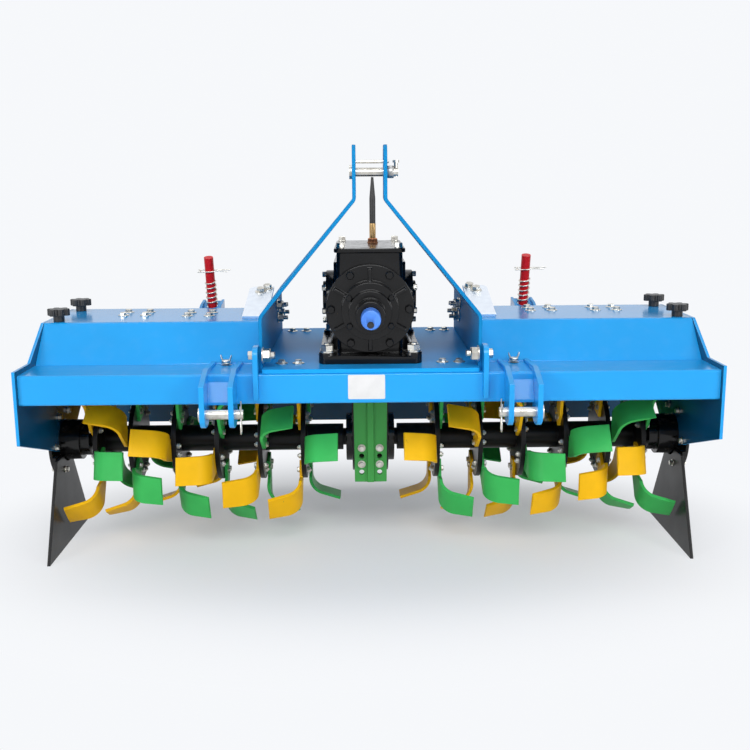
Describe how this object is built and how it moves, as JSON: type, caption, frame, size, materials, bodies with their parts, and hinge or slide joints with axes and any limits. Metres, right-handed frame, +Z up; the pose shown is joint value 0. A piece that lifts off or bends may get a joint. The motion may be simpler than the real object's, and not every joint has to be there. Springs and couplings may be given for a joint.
{
  "type": "rotary tiller",
  "caption": "Centre-drive rotary tiller for a tractor's three-point hitch, with hood, mast, gearbox, tined rotor, hinged rear board and parking stands.",
  "frame": {"origin": "on the floor below the rotor's axis, midway between the end plates", "axes": "+X to the right seen from the tractor's side of the picture, +Y to the rear of the machine, +Z up"},
  "size_m": [1.628, 0.859, 1.002],
  "materials": {
    "blue_paint": "gloss bright blue paint",
    "black_casting": "gloss black paint on castings",
    "black_paint": "satin black paint",
    "bright_steel": "bright plated steel",
    "zinc_strap": "pale plated plate",
    "brass_fitting": "brass",
    "black_rubber": "black rubber",
    "post_green": "green paint",
    "tine_yellow": "amber yellow paint",
    "tine_green": "leaf green paint",
    "red_paint": "red paint",
    "black_plastic": "moulded black plastic",
    "blue_plastic": "moulded blue plastic"
  },
  "bodies": {
    "frame": {"front_beam": "blue_paint", "rear_beam": "blue_paint", "deck": "blue_paint", "hood_left": "blue_paint", "hood_right": "blue_paint", "end_plate_left": "blue_paint", "end_plate_right": "blue_paint", "bearing_left": "black_casting", "bearing_right": "black_casting", "stand_left": "black_paint", "stand_right": "black_paint", "mast_left": "blue_paint", "mast_right": "blue_paint", "top_link_pin": "bright_steel", "mast_lugs": "blue_paint", "mast_straps": "zinc_strap", "hitch_bracket_left": "blue_paint", "hitch_bracket_right": "blue_paint", "hitch_pin_left": "bright_steel", "hitch_pin_right": "bright_steel", "gearbox_case": "black_casting", "gearbox_cover": "black_casting", "side_covers": "black_casting", "input_flange": "black_casting", "drive_case": "black_casting", "breather_fitting": "brass_fitting", "breather_pipe": "black_rubber", "centre_post": "post_green", "knobs": "black_plastic", "board_hinges": "blue_paint", "rod_bracket_left": "blue_paint", "rod_bracket_right": "blue_paint"},
    "rotor": {"rotor_shaft": "black_paint", "tines_left_yellow": "tine_yellow", "tines_left_green": "tine_green", "tines_right_green": "tine_green", "tines_right_yellow": "tine_yellow"},
    "input": {"pto_shaft": "bright_steel", "pto_cap": "blue_plastic"},
    "board": {"rear_board": "blue_paint"},
    "rod_left": {"spring_rod_left": "red_paint", "rod_spring_left": "bright_steel"},
    "rod_right": {"spring_rod_right": "red_paint", "rod_spring_right": "bright_steel"}
  },
  "joints": [
    {"name": "rotor_spin", "type": "hinge", "parent": "frame", "child": "rotor", "pos_m": [0, 0, 0.2665], "axis": [1, 0, 0], "continuous": true},
    {"name": "input_spin", "type": "hinge", "parent": "frame", "child": "input", "pos_m": [0, -0.4, 0.633], "axis": [0, 1, 0], "continuous": true},
    {"name": "board_swing", "type": "hinge", "parent": "frame", "child": "board", "pos_m": [0, 0.332, 0.468], "axis": [1, 0, 0], "range_deg": [0, 30]},
    {"name": "rod_left_swing", "type": "hinge", "parent": "board", "child": "rod_left", "pos_m": [-0.45, 0.412, 0.322], "axis": [1, 0, 0], "range_deg": [-14, 0]},
    {"name": "rod_right_swing", "type": "hinge", "parent": "board", "child": "rod_right", "pos_m": [0.45, 0.412, 0.322], "axis": [1, 0, 0], "range_deg": [-14, 0]}
  ],
  "couplings": [
    {"joint": "input_spin", "follows": "rotor_spin", "ratio": 2.4},
    {"joint": "rod_left_swing", "follows": "board_swing", "ratio": -0.363},
    {"joint": "rod_right_swing", "follows": "board_swing", "ratio": -0.363}
  ]
}
